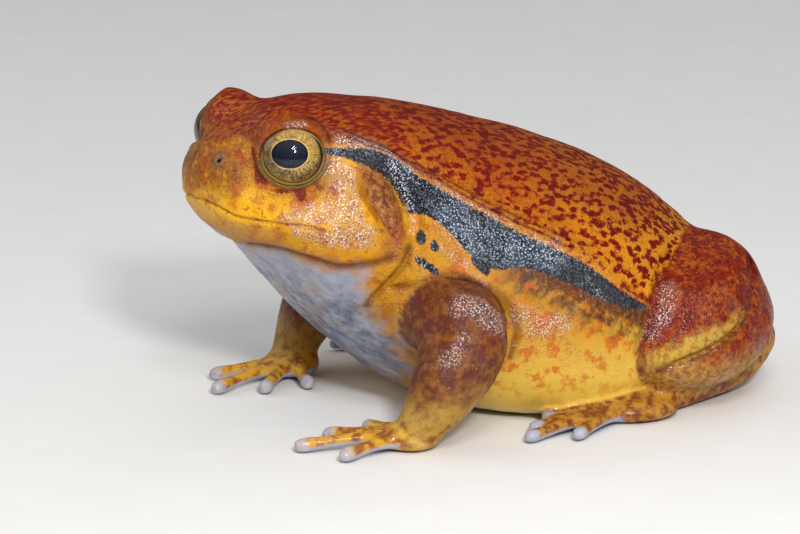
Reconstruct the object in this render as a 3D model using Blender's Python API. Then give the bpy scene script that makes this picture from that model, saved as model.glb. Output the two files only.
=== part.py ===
"""A tomato frog sitting on the ground with its head raised, life size, as a still model.

The frog faces -Y, its left side is +X, and its belly, hands and feet rest on z = 0. The body is one loft
from snout to vent. Each limb length is a swelling tube that is cut back by what it grows from, so that
neighbours meet face to face with a thin gap. All sizes below are in millimetres.
"""

import math

import bmesh
import bpy
from mathutils import Matrix, Vector

MM = 0.001
GAP = 0.3
FLOOR = 0.0

# Each row is one cross-section of the body: its y, back height, belly height, half width, the height at
# which it is widest, and how square its belly is (2 is an ellipse).
BODY_ROWS = (
    (-39.4, 36.6, 35.0, 0.6, 35.8, 2.0),
    (-39.2, 38.3, 33.2, 3.2, 35.6, 2.0),
    (-38.6, 39.3, 31.0, 5.6, 35.2, 2.0),
    (-37.0, 40.4, 28.9, 8.4, 34.4, 2.0),
    (-34.0, 42.0, 26.9, 11.6, 33.2, 2.1),
    (-30.0, 43.9, 24.0, 14.2, 31.8, 2.2),
    (-25.5, 45.4, 18.2, 16.4, 30.0, 2.2),
    (-20.0, 45.9, 12.2, 18.0, 27.6, 2.2),
    (-13.5, 45.2, 6.6, 19.8, 23.6, 2.3),
    (-6.0, 43.4, 1.4, 22.3, 17.6, 2.6),
    (2.0, 41.2, -1.0, 24.8, 12.6, 3.1),
    (11.0, 38.5, -1.6, 26.2, 10.8, 3.3),
    (20.0, 35.1, -1.6, 25.2, 10.8, 3.2),
    (28.5, 30.7, -1.2, 21.8, 11.4, 2.9),
    (36.0, 25.2, -0.2, 16.6, 12.0, 2.5),
    (41.8, 19.8, 2.6, 10.6, 11.6, 2.3),
    (45.2, 15.0, 6.6, 5.0, 11.0, 2.0),
    (46.2, 11.4, 10.6, 0.6, 11.0, 2.0),
)
RINGS_PER_ROW = 2
RING_POINTS = 32
BACK_ROUNDNESS = 2.15

# The cut between head and torso leans forward as it goes down, behind the ear and the jaw.
NECK_POINT = (0.0, -12.6, 33.0)
NECK_LEAN = math.radians(10)

EYE_RADIUS = 5.0
EYE_CENTRE = (9.1, -29.2, 40.2)
EYE_FORWARD = math.radians(27)
EYE_UP = math.radians(15)
LID_RADII = (5.8, 5.75, 6.0)
LID_OPENING = 4.2

NOSTRIL = (4.2, -37.8)
NOSTRIL_RADIUS = 0.45
NOSTRIL_MOUND = 1.2
NOSTRIL_SUNK = 0.5
NOSTRIL_AXIS = Vector((0.55, -0.45, 0.7)).normalized()

# The mouth's line drops as it goes back from the middle of the snout to its corners.
MOUTH_FRONT_HEIGHT = 33.4
MOUTH_DROP = 0.21
MOUTH_FRONT_BEND = 2.5
MOUTH_HALF_WIDTH = 15.3
MOUTH_GROOVE = 0.4
LIP_RADIUS = 1.0
LIP_SPACING = 1.0
LIP_SUNK = 0.72

# The hollow of the ear as (y, height, radius) of the tube that cuts it on the left side.
EAR_HOLLOW = (
    (-21.8, 38.4, 0.9), (-20.4, 36.0, 1.9), (-18.9, 33.3, 2.2), (-17.6, 30.8, 1.8), (-16.8, 28.6, 0.9),
)
EAR_DEPTH = 0.6

# Folds of skin, as (y, height) on the left side of the body.
EAR_FOLD = ((-22.5, 40.4), (-18.4, 38.2), (-16.0, 34.6), (-15.0, 31.4), (-15.0, 28.0))
BACK_FOLD = ((-24.0, 42.4), (-17.0, 38.6), (-10.0, 34.0), (-3.2, 29.6), (4.1, 26.3), (12.4, 22.0))
FOLD_RADIUS = 1.3
FOLD_SUNK = 0.95
FOLD_END = 0.45  # how thick a fold or a lip is at its ends, as a share of its middle

# Limb lengths as (x, y, z, radius), with x towards the frog's own side. Their ends are rounded beyond
# these points. The right hand stands a little behind the left one and nearer the middle.
UPPER_ARM = {
    1: ((12.0, -9.5, 17.5, 6.0), (19.0, -10.2, 16.9, 6.1), (24.6, -9.8, 16.2, 6.0)),
    -1: ((12.0, -7.5, 17.0, 6.0), (18.4, -6.8, 16.6, 6.1), (23.4, -4.8, 15.4, 6.0)),
}
FOREARM = {
    1: ((25.8, -9.8, 14.4, 5.6), (25.4, -12.6, 10.2, 5.5), (24.7, -15.0, 6.2, 4.8), (23.9, -16.6, 3.6, 3.4)),
    -1: ((24.2, -4.8, 13.6, 5.6), (23.4, -8.4, 9.4, 5.3), (21.9, -11.6, 5.8, 4.2), (20.8, -13.2, 3.4, 3.2)),
}
THIGH = ((10.0, 37.5, 13.6, 8.0), (17.0, 34.5, 15.2, 8.3), (24.0, 26.2, 12.6, 7.3))
SHANK = ((26.0, 22.5, 8.8, 4.8), (25.6, 29.5, 8.8, 5.8), (21.8, 36.3, 10.4, 6.0), (17.6, 39.8, 11.8, 5.2))
ANKLE = ((17.6, 42.0, 7.0, 3.8), (19.0, 38.5, 3.8, 3.3), (21.6, 30.0, 2.8, 3.0), (24.0, 22.0, 2.0, 2.6))

PALM_CENTRE = {1: (22.4, -17.2, 1.6), -1: (19.6, -14.2, 1.6)}
PALM_RADII = (4.2, 4.4, 2.3)
PALM_TURN = math.radians(20)
# Fingers and toes as (length, angle outward from the hand's or foot's heading), from the inner one out.
FINGERS = ((9.2, -58.0), (11.8, -24.0), (15.4, 1.0), (11.6, 30.0))
FINGER_RADII = (1.45, 1.15, 1.05, 1.25)

SOLE_CENTRE = (25.0, 17.6, 1.3)
SOLE_RADII = (4.3, 6.6, 1.9)
SOLE_TURN = math.radians(-9)
TOES = ((8.5, -34.0), (12.0, -20.0), (15.5, -8.0), (18.8, 3.0), (13.5, 18.0))
TOE_RADII = (1.4, 1.15, 1.0, 1.15)
# Where a digit's stations lie along it after its root, and how far each rises towards the knuckle.
DIGIT_SHARES = (0.45, 0.78, 1.0)
DIGIT_RISES = (0.6, 1.0, 0.45, 0.0)
FINGER_ROOT = 0.15
TOE_ROOT = 0.1
TOES_AHEAD = 0.2  # how far before the sole's centre the toes start, as a share of its length
KNUCKLE_RISE = 0.7
DIGIT_HEIGHT = 0.85

# How finely tubes are rounded: each has four sides more than twice this number.
THIGH_SIDES = 10
LIMB_SIDES = 8
WRIST_SIDES = 5
DIGIT_SIDES = 2
SHARP_EDGE = math.radians(40)

SKINS = {
    "head_skin": ((0.60, 0.24, 0.04), 0.35),
    "back_skin": ((0.52, 0.13, 0.03), 0.35),
    "arm_skin": ((0.42, 0.16, 0.05), 0.35),
    "hand_skin": ((0.66, 0.38, 0.10), 0.35),
    "leg_skin": ((0.40, 0.06, 0.02), 0.35),
    "foot_skin": ((0.58, 0.30, 0.08), 0.35),
    "eye": ((0.55, 0.38, 0.12), 0.08),
}


def clear_scene():
    for obj in list(bpy.data.objects):
        bpy.data.objects.remove(obj)


def finish(name, colour, roughness):
    material = bpy.data.materials.new(name)
    material.use_nodes = True
    shader = material.node_tree.nodes["Principled BSDF"]
    shader.inputs["Base Color"].default_value = (*colour, 1.0)
    shader.inputs["Roughness"].default_value = roughness
    shader.inputs["Metallic"].default_value = 0.0
    return material


def smooth_through(rows, steps):
    """Rows of numbers passed through by one smooth curve, with steps rows for each stretch."""
    count = len(rows)
    made = []
    for i in range(count - 1):
        before, start, end, after = rows[max(i - 1, 0)], rows[i], rows[i + 1], rows[min(i + 2, count - 1)]
        for step in range(steps):
            t = step / steps
            made.append(tuple(
                b + 0.5 * t * (c - a + t * (2 * a - 5 * b + 4 * c - d + t * (3 * (b - c) + d - a)))
                for a, b, c, d in zip(before, start, end, after)
            ))
    made.append(tuple(rows[-1]))
    return made


def new_object(name, mesh, group):
    obj = bpy.data.objects.new(name, mesh)
    group.objects.link(obj)
    return obj


def loft(name, rings, group):
    """A closed skin over rings of equal length, with a pole at each end."""
    shape = bmesh.new()
    loops = [[shape.verts.new(point * MM) for point in ring] for ring in rings]
    size = len(rings[0])
    for first, second in zip(loops, loops[1:]):
        for i in range(size):
            j = (i + 1) % size
            shape.faces.new((first[i], first[j], second[j], second[i]))
    for ring, points, turned in ((loops[0], rings[0], True), (loops[-1], rings[-1], False)):
        pole = shape.verts.new(sum(points, Vector()) / size * MM)
        for i in range(size):
            j = (i + 1) % size
            shape.faces.new((pole, ring[j], ring[i]) if turned else (pole, ring[i], ring[j]))
    bmesh.ops.recalc_face_normals(shape, faces=shape.faces)
    mesh = bpy.data.meshes.new(name)
    shape.to_mesh(mesh)
    shape.free()
    return new_object(name, mesh, group)


def body_outline():
    return smooth_through(BODY_ROWS, RINGS_PER_ROW)


def body_ring(row):
    y, back, belly, half_width, widest, belly_roundness = row
    ring = []
    for i in range(RING_POINTS):
        angle = 2 * math.pi * i / RING_POINTS
        across, up = math.cos(angle), math.sin(angle)
        roundness = BACK_ROUNDNESS if up >= 0 else belly_roundness
        reach = (abs(across) ** roundness + abs(up) ** roundness) ** (-1 / roundness)
        rise = (back - widest) if up >= 0 else (widest - belly)
        ring.append(Vector((half_width * across * reach, y, widest + rise * up * reach)))
    return ring


def body_row_at(y):
    outline = body_outline()
    for first, second in zip(outline, outline[1:]):
        if first[0] <= y <= second[0]:
            t = (y - first[0]) / (second[0] - first[0])
            return tuple(a + t * (b - a) for a, b in zip(first, second))
    raise ValueError(f"y = {y} is off the body")


def side_point(y, height):
    """The point of the body's left side at this y and height."""
    _, back, belly, half_width, widest, belly_roundness = body_row_at(y)
    above = height >= widest
    share = (height - widest) / (back - widest) if above else (widest - height) / (widest - belly)
    roundness = BACK_ROUNDNESS if above else belly_roundness
    return Vector((half_width * (1 - min(share, 1.0) ** roundness) ** (1 / roundness), y, height))


def top_point(x, y):
    """The point of the back above this x and y."""
    _, back, _, half_width, widest, _ = body_row_at(y)
    share = (1 - min(abs(x) / half_width, 1.0) ** BACK_ROUNDNESS) ** (1 / BACK_ROUNDNESS)
    return Vector((x, y, widest + (back - widest) * share))


def body_normal(point):
    """The outward direction of the left side of the body at a point of it."""
    step = 0.4
    ahead = side_point(max(point.y - step, BODY_ROWS[0][0]), point.z)
    behind = side_point(point.y + step, point.z)
    below = side_point(point.y, point.z - step)
    above = side_point(point.y, point.z + step)
    return (ahead - behind).cross(above - below).normalized()


def as_mesh(curve_object, group):
    """The mesh of a curve object, with its caps welded on. The curve is removed."""
    graph = bpy.context.evaluated_depsgraph_get()
    mesh = bpy.data.meshes.new_from_object(curve_object.evaluated_get(graph))
    shape = bmesh.new()
    shape.from_mesh(mesh)
    bmesh.ops.remove_doubles(shape, verts=shape.verts, dist=0.00001)
    bmesh.ops.recalc_face_normals(shape, faces=shape.faces)
    shape.to_mesh(mesh)
    shape.free()
    name, matrix = curve_object.name, curve_object.matrix_world.copy()
    bpy.data.objects.remove(curve_object)
    made = new_object(name, mesh, group)
    made.matrix_world = matrix
    return made


def rounded_end(end, inner, angles):
    """Stations past a tube's end that close it with a dome."""
    tip, direction = Vector(end[:3]), (Vector(end[:3]) - Vector(inner[:3])).normalized()
    stations = []
    for angle in angles:
        turn = math.radians(angle)
        place = tip + direction * end[3] * math.sin(turn)
        stations.append((*place, end[3] * math.cos(turn)))
    return stations


def tube(name, stations, group, sides, steps=2):
    """A closed tube through (x, y, z, radius) stations, with round ends."""
    path = smooth_through(stations, steps)
    angles = (30, 58, 78) if sides > DIGIT_SIDES else (38, 70)
    path = rounded_end(path[0], path[1], angles)[::-1] + path + rounded_end(path[-1], path[-2], angles)
    curve = bpy.data.curves.new(name, "CURVE")
    curve.dimensions = "3D"
    curve.bevel_depth = MM
    curve.bevel_resolution = sides
    curve.use_fill_caps = True
    spline = curve.splines.new("POLY")
    spline.points.add(len(path) - 1)
    for point, (x, y, z, radius) in zip(spline.points, path):
        point.co = (x * MM, y * MM, z * MM, 1.0)
        point.radius = radius
    return as_mesh(new_object(name, curve, group), group)


def ball(name, centre, radii, group, turn=None, segments=16, rings=10):
    """A closed ellipsoid at a place, turned by a matrix."""
    bpy.ops.mesh.primitive_uv_sphere_add(segments=segments, ring_count=rings, radius=1.0)
    obj = bpy.context.object
    obj.name = name
    matrix = Matrix.Translation(Vector(centre) * MM) @ (turn or Matrix.Identity(4))
    obj.data.transform(matrix @ Matrix.Diagonal((*(Vector(radii) * MM), 1.0)))
    for owner in list(obj.users_collection):
        owner.objects.unlink(obj)
    group.objects.link(obj)
    return obj


def rod(name, start, end, radius, group, sides=24):
    """A closed cylinder from one point to another."""
    axis = Vector(end) - Vector(start)
    bpy.ops.mesh.primitive_cylinder_add(vertices=sides, radius=radius * MM, depth=axis.length * MM)
    obj = bpy.context.object
    obj.name = name
    turn = axis.to_track_quat("Z", "Y").to_matrix().to_4x4()
    obj.data.transform(Matrix.Translation((Vector(start) + axis / 2) * MM) @ turn)
    for owner in list(obj.users_collection):
        owner.objects.unlink(obj)
    group.objects.link(obj)
    return obj


def mirrored(obj, group):
    """The same shape on the frog's right side."""
    copy = new_object(obj.name + "_right", obj.data.copy(), group)
    copy.data.transform(Matrix.Diagonal((-1.0, 1.0, 1.0, 1.0)))
    copy.data.flip_normals()
    return copy


def settle_modifiers(obj):
    """Applies the object's modifiers."""
    graph = bpy.context.evaluated_depsgraph_get()
    mesh = bpy.data.meshes.new_from_object(obj.evaluated_get(graph))
    obj.modifiers.clear()
    obj.data = mesh


def keep_largest(obj):
    """Drops every loose surface but the one with the largest volume."""
    shape = bmesh.new()
    shape.from_mesh(obj.data)
    unseen, shells = set(shape.verts), []
    while unseen:
        reached, edge = set(), [unseen.pop()]
        while edge:
            vert = edge.pop()
            reached.add(vert)
            found = {e.other_vert(vert) for e in vert.link_edges} & unseen
            unseen -= found
            edge.extend(found)
        shells.append(reached)
    if len(shells) > 1:
        largest = max(shells, key=shell_volume)
        bmesh.ops.delete(shape, geom=[v for v in shape.verts if v not in largest], context="VERTS")
        shape.to_mesh(obj.data)
    shape.free()


def shell_volume(verts):
    faces = {face for vert in verts for face in vert.link_faces}
    total = 0.0
    for face in faces:
        corners = [vert.co for vert in face.verts]
        for a, b in zip(corners[1:], corners[2:]):
            total += corners[0].dot(a.cross(b)) / 6
    return abs(total)


def boolean(obj, others, operation):
    """Joins or cuts an object with a collection of closed meshes, which are then removed."""
    group = bpy.data.collections.new(obj.name + "_with")
    bpy.context.scene.collection.children.link(group)
    for other in others:
        group.objects.link(other)
    modifier = obj.modifiers.new("join", "BOOLEAN")
    modifier.operation = operation
    modifier.operand_type = "COLLECTION"
    modifier.collection = group
    modifier.solver = "EXACT"
    settle_modifiers(obj)
    for other in others:
        bpy.data.objects.remove(other)
    bpy.data.collections.remove(group)
    keep_largest(obj)
    return obj


def grown(obj, group, by=GAP):
    """A copy of an object with its surface moved out, to cut a neighbour clear of it."""
    copy = new_object(obj.name + "_grown", obj.data.copy(), group)
    normals = [vert.normal.copy() for vert in copy.data.vertices]
    for vert, normal in zip(copy.data.vertices, normals):
        vert.co += normal * by * MM
    return copy


def cut_clear(obj, neighbours, group):
    return boolean(obj, [grown(other, group) for other in neighbours], "DIFFERENCE")


def trim(obj, point, away):
    """Cuts off all that lies beyond a plane, the way that the direction points, and closes the cut."""
    shape = bmesh.new()
    shape.from_mesh(obj.data)
    parts = list(shape.verts) + list(shape.edges) + list(shape.faces)
    bmesh.ops.bisect_plane(
        shape, geom=parts, dist=1e-7, plane_co=Vector(point) * MM, plane_no=Vector(away), clear_outer=True
    )
    rim = [edge for edge in shape.edges if edge.is_boundary]
    bmesh.ops.holes_fill(shape, edges=rim, sides=0)
    bmesh.ops.recalc_face_normals(shape, faces=shape.faces)
    shape.to_mesh(obj.data)
    shape.free()
    keep_largest(obj)


def tapered(share):
    """How thick a fold or a lip is at a share of its length: thin at both ends."""
    return FOLD_END + (1 - FOLD_END) * math.sin(math.pi * share) ** 0.6


def skin_fold(name, places, group, steps=2):
    """A fold along the body's left side, through (y, height) places."""
    line = smooth_through(places, steps)
    stations = []
    for i, (y, height) in enumerate(line):
        thick = tapered(i / (len(line) - 1))
        point = side_point(y, height)
        point -= body_normal(point) * FOLD_SUNK * thick
        stations.append((*point, FOLD_RADIUS * thick))
    return tube(name, stations, group, DIGIT_SIDES, steps=1)


def front_y(across, height):
    """The y at which the front of the head reaches this far from the middle, at this height."""
    ahead, behind = BODY_ROWS[0][0], NECK_POINT[1]
    for _ in range(24):
        middle = (ahead + behind) / 2
        if side_point(middle, height).x > across:
            behind = middle
        else:
            ahead = middle
    return behind


def mouth_bend(across):
    """The distance from the middle, rounded off at the middle so that the lips meet there in a curve."""
    return math.hypot(across, MOUTH_FRONT_BEND) - MOUTH_FRONT_BEND


def mouth_line(name, rise, inward, radius, group, count=8):
    """A tube along one lip or the mouth's slit, from corner to corner."""
    line, widths = [], []
    for i in range(-count, count + 1):
        across = MOUTH_HALF_WIDTH * i / count
        thick = tapered((i + count) / (2 * count))
        height = MOUTH_FRONT_HEIGHT - MOUTH_DROP * mouth_bend(across) + rise * thick
        line.append(Vector((across, front_y(abs(across), height), height)))
        widths.append(thick)
    stations = []
    for i, (point, thick) in enumerate(zip(line, widths)):
        along = line[min(i + 1, 2 * count)] - line[max(i - 1, 0)]
        outward = Vector((along.y, -along.x, 0.0)).normalized()
        stations.append((*(point - outward * inward * thick), radius * thick))
    return tube(name, stations, group, DIGIT_SIDES, steps=1)


def eye_axis():
    flat = math.cos(EYE_UP)
    return Vector((flat * math.cos(EYE_FORWARD), -flat * math.sin(EYE_FORWARD), math.sin(EYE_UP)))


def make_eye(group):
    return ball("eye_left", EYE_CENTRE, (EYE_RADIUS,) * 3, group, segments=18, rings=10)


def raised_forms(group):
    """Lids, lips, nostril mounds and skin folds that stand out of the loft."""
    lid = ball("lid", EYE_CENTRE, LID_RADII, group, segments=20, rings=12)
    mound_place = top_point(*NOSTRIL) - NOSTRIL_AXIS * NOSTRIL_SUNK
    mound = ball("mound", mound_place, (NOSTRIL_MOUND,) * 3, group, segments=12, rings=8)
    left = [lid, mound, skin_fold("ear_fold", EAR_FOLD, group), skin_fold("back_fold", BACK_FOLD, group)]
    lips = [
        mouth_line("upper_lip", LIP_SPACING, LIP_SUNK, LIP_RADIUS, group),
        mouth_line("lower_lip", -LIP_SPACING, LIP_SUNK, LIP_RADIUS, group),
    ]
    return left + [mirrored(piece, group) for piece in left] + lips


def ear_hollow(group):
    stations = []
    for y, height, radius in EAR_HOLLOW:
        point = side_point(y, height)
        point += body_normal(point) * (radius - EAR_DEPTH)
        stations.append((*point, radius))
    return tube("ear_hollow", stations, group, DIGIT_SIDES, steps=2)


def hollow_forms(group):
    """Eye sockets, lid openings, nostrils, the ears' hollows and the mouth's slit, to be cut away."""
    centre, axis = Vector(EYE_CENTRE), eye_axis()
    socket = ball("socket", EYE_CENTRE, (EYE_RADIUS + GAP,) * 3, group, segments=20, rings=12)
    opening = rod("opening", centre, centre + axis * 2 * EYE_RADIUS, LID_OPENING, group)
    nose = top_point(*NOSTRIL)
    nostril = rod("nostril", nose - NOSTRIL_AXIS, nose + NOSTRIL_AXIS * 3, NOSTRIL_RADIUS, group, sides=10)
    left = [socket, opening, nostril, ear_hollow(group)]
    slit = mouth_line("slit", 0.0, 0.0, MOUTH_GROOVE, group)
    return left + [mirrored(piece, group) for piece in left] + [slit]


def bare_body(group):
    return loft("bare_body", [body_ring(row) for row in body_outline()], group)


def make_body(group):
    body = boolean(bare_body(group), raised_forms(group), "UNION")
    return boolean(body, hollow_forms(group), "DIFFERENCE")


def split_at_neck(body, group):
    """The head and the torso, each trimmed back from the neck's plane by half the gap."""
    backward = Vector((0.0, math.cos(NECK_LEAN), math.sin(NECK_LEAN)))
    halves = []
    for name, away in (("head", backward), ("torso", -backward)):
        half = new_object(name, body.data.copy(), group)
        trim(half, Vector(NECK_POINT) - away * GAP / 2, away)
        halves.append(half)
    return halves


def on_side(stations, side):
    return [(side * x, *rest) for x, *rest in stations]


def digits(name, centre, turn, spread, radii, start, group, side):
    """Fingers or toes that fan out from a centre, each rising to a knuckle and ending in a round tip."""
    made = []
    for number, (length, angle) in enumerate(spread, 1):
        heading = math.radians(angle) - turn
        way = Vector((side * math.sin(heading), -math.cos(heading), 0.0))
        stations = []
        for share, rise, radius in zip((start, *DIGIT_SHARES), DIGIT_RISES, radii):
            place = Vector(centre) + way * length * share
            place.z = DIGIT_HEIGHT + rise * KNUCKLE_RISE
            stations.append((*place, radius))
        made.append(tube(f"{name}_{number}", stations, group, DIGIT_SIDES))
    return made


def make_hand(side, group):
    centre = Vector(PALM_CENTRE[side])
    wrist_ends = on_side((FOREARM[side][-1], (*centre, PALM_RADII[2])), side)
    centre.x *= side
    turn = Matrix.Rotation(side * PALM_TURN, 4, "Z")
    palm = ball("palm", centre, PALM_RADII, group, turn=turn)
    wrist = tube("wrist", wrist_ends, group, WRIST_SIDES)
    fingers = digits("finger", centre, PALM_TURN, FINGERS, FINGER_RADII, FINGER_ROOT, group, side)
    return boolean(palm, [wrist, *fingers], "UNION")


def make_foot(side, group):
    centre = Vector(SOLE_CENTRE)
    centre.x *= side
    turn = Matrix.Rotation(side * SOLE_TURN, 4, "Z")
    sole = ball("sole", centre, SOLE_RADII, group, turn=turn)
    ankle = tube("ankle", on_side(ANKLE, side), group, WRIST_SIDES)
    root = centre + turn @ Vector((0.0, -TOES_AHEAD * SOLE_RADII[1], 0.0))
    toes = digits("toe", root, SOLE_TURN, TOES, TOE_RADII, TOE_ROOT, group, side)
    return boolean(sole, [ankle, *toes], "UNION")


def part_at_joint(first, second, joint, toward, onward):
    """Parts two limb lengths by the plane that halves the bend between them, with the gap left open."""
    across = (toward.normalized() + onward.normalized()).normalized()
    trim(first, joint - across * GAP / 2, across)
    trim(second, joint + across * GAP / 2, -across)


def make_arm(side, body, group):
    word = "left" if side > 0 else "right"
    upper_line, fore_line = on_side(UPPER_ARM[side], side), on_side(FOREARM[side], side)
    upper = tube("upper_arm_" + word, upper_line, group, LIMB_SIDES)
    fore = tube("forearm_" + word, fore_line, group, LIMB_SIDES)
    shoulder, elbow, wrist = (Vector(station[:3]) for station in (upper_line[0], fore_line[0], fore_line[-1]))
    part_at_joint(upper, fore, elbow, elbow - shoulder, wrist - elbow)
    cut_clear(upper, [body], group)
    cut_clear(fore, [body], group)
    hand = make_hand(side, group)
    hand.name = "hand_" + word
    cut_clear(hand, [body, fore], group)
    return [upper, fore, hand]


def make_leg(side, body, group):
    word = "left" if side > 0 else "right"
    thigh = tube("thigh_" + word, on_side(THIGH, side), group, THIGH_SIDES)
    cut_clear(thigh, [body], group)
    shank = tube("shank_" + word, on_side(SHANK, side), group, LIMB_SIDES)
    cut_clear(shank, [body, thigh], group)
    foot = make_foot(side, group)
    foot.name = "foot_" + word
    cut_clear(foot, [body, thigh, shank], group)
    return [thigh, shank, foot]


def dress(obj, material):
    obj.data.materials.clear()
    obj.data.materials.append(material)
    obj.data.shade_smooth()
    obj.data.set_sharp_from_angle(angle=SHARP_EDGE)


def centre_on_floor(parts):
    """Moves all of the frog so that the origin is the middle of its box, at floor level."""
    corners = [vert.co for part in parts for vert in part.data.vertices]
    middle = [(min(c[i] for c in corners) + max(c[i] for c in corners)) / 2 for i in (0, 1)]
    for part in parts:
        part.data.transform(Matrix.Translation((-middle[0], -middle[1], 0.0)))


def main():
    clear_scene()
    group = bpy.data.collections.new("tomato_frog")
    bpy.context.scene.collection.children.link(group)
    skins = {name: finish(name, *look) for name, look in SKINS.items()}

    bare = bare_body(group)
    limbs = [part for side in (1, -1) for part in make_arm(side, bare, group) + make_leg(side, bare, group)]
    bpy.data.objects.remove(bare)
    body = make_body(group)
    head, torso = split_at_neck(body, group)
    bpy.data.objects.remove(body)
    for part in (torso, *limbs):
        trim(part, (0.0, 0.0, FLOOR), (0.0, 0.0, -1.0))

    left_eye = make_eye(group)
    right_eye = mirrored(left_eye, group)
    right_eye.name = "eye_right"
    wears = {"head": "head_skin", "torso": "back_skin", "upper_arm": "arm_skin", "forearm": "arm_skin",
             "hand": "hand_skin", "thigh": "leg_skin", "shank": "leg_skin", "foot": "foot_skin", "eye": "eye"}
    parts = [head, torso, left_eye, right_eye, *limbs]
    centre_on_floor(parts)
    for part in parts:
        kind = part.name.removesuffix("_left").removesuffix("_right")
        dress(part, skins[wears[kind]])


if __name__ == "__main__":
    main()
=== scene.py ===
import math

import bpy
import numpy as np
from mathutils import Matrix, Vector, noise
from mathutils.bvhtree import BVHTree


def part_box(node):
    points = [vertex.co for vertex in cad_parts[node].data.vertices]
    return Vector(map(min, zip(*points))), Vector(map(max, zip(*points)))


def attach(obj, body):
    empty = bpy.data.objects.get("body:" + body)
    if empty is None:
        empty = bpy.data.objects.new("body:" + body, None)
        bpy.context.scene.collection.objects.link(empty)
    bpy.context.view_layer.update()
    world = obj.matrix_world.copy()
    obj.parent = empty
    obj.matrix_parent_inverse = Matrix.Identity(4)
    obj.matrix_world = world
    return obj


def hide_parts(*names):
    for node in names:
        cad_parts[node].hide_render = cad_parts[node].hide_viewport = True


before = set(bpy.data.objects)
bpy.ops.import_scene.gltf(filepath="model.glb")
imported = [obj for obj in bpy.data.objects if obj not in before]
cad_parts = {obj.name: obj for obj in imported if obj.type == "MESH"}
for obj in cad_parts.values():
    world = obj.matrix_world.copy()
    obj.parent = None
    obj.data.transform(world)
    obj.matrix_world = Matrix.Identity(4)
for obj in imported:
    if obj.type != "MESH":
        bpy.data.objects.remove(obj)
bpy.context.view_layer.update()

# The view
# The frog is seen from its left and a little ahead, from just above, as in its portrait. Places that are
# read off the picture are given as its pixels, and are found on the frog along the line of sight.
MM = 0.001
PICTURE_WIDTH = 800
PICTURE_HEIGHT = 534
VIEW_AZIMUTH = math.radians(61)
VIEW_HEIGHT = math.radians(13.5)
VIEW_DISTANCE = 500.0
VIEW_BREADTH = 115.94  # millimetres across the picture at that distance
AIM_FROM_EYE = Vector((-15.64, 26.10, -22.65))

left_eye_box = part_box("eye_left")
eye_place = (left_eye_box[0] + left_eye_box[1]) / 2 / MM
aim = eye_place + AIM_FROM_EYE
view_forward = Vector((
    -math.sin(VIEW_AZIMUTH) * math.cos(VIEW_HEIGHT),
    math.cos(VIEW_AZIMUTH) * math.cos(VIEW_HEIGHT),
    -math.sin(VIEW_HEIGHT),
))
view_right = view_forward.cross(Vector((0, 0, 1))).normalized()
view_up = view_right.cross(view_forward)
view_place = aim - view_forward * VIEW_DISTANCE

bpy.ops.object.camera_add(location=view_place * MM)
camera = bpy.context.object
camera.name = "portrait_camera"
camera.rotation_euler = view_forward.to_track_quat("-Z", "Y").to_euler()
camera.data.lens = camera.data.sensor_width * VIEW_DISTANCE / VIEW_BREADTH
camera.data.clip_start = 0.01
bpy.context.scene.camera = camera


def sight(across, down):
    """The direction in which the camera sees a pixel of the picture."""
    per_pixel = VIEW_BREADTH / VIEW_DISTANCE / PICTURE_WIDTH
    aside = (across - PICTURE_WIDTH / 2) * per_pixel
    above = (PICTURE_HEIGHT / 2 - down) * per_pixel
    return (view_forward + view_right * aside + view_up * above).normalized()


# The skin, as one piece
# A frog's skin is one wet, thin hide over all of its body and limbs. The parts of the model are thickened
# until they meet, made one surface, eased over the joints and thinned again by as much.
SWELL = 0.22
SKIN_GRAIN = 0.45  # the distance between the skin's points before its finer places are divided
EASING = 0.9  # how far a point goes towards the middle of its neighbours in one round
EASING_ROUNDS = 60
HEAD_SPARED, DIGITS_SPARED, FOLDS_SPARED = 0.69, 0.91, 0.75  # the shares of the easing that they are spared
flesh = sorted(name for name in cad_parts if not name.startswith("eye"))


def choose(*objects):
    """Selects these objects and nothing else, the last one active."""
    bpy.ops.object.select_all(action="DESELECT")
    for obj in objects:
        obj.select_set(True)
    bpy.context.view_layer.objects.active = objects[-1]


def settle(obj, kind, **values):
    """Adds a modifier with these values and applies it."""
    choose(obj)
    modifier = obj.modifiers.new(kind.lower(), kind)
    for name, value in values.items():
        setattr(modifier, name, value)
    bpy.ops.object.modifier_apply(modifier=modifier.name)


def edit_whole(obj, operator, **values):
    """Runs one of edit mode's operators on a whole mesh."""
    choose(obj)
    bpy.ops.object.mode_set(mode="EDIT")
    bpy.ops.mesh.select_all(action="SELECT")
    operator(**values)
    bpy.ops.object.mode_set(mode="OBJECT")


def triples(rows, key):
    """Three numbers of each row of a mesh, as an array."""
    flat = np.empty(len(rows) * 3, np.float32)
    rows.foreach_get(key, flat)
    return flat.reshape(-1, 3).astype(float)


def places(obj):
    """The points of a mesh in millimetres."""
    return triples(obj.data.vertices, "co") / MM


def put(obj, points):
    """Moves the points of a mesh to these places in millimetres."""
    obj.data.vertices.foreach_set("co", (points * MM).astype(np.float32).ravel())
    obj.data.update()


def outward(obj):
    """The direction out of the surface at each point of a mesh."""
    return triples(obj.data.vertex_normals, "vector")


def raise_skin(obj, amount):
    """Moves each point out of the surface by its own amount in millimetres."""
    put(obj, places(obj) + outward(obj) * np.reshape(amount, (-1, 1)))


def rest_on_floor(obj):
    """Lifts what lies below the floor up to it."""
    points = places(obj)
    points[:, 2] = np.maximum(points[:, 2], 0.0)
    put(obj, points)


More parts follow.
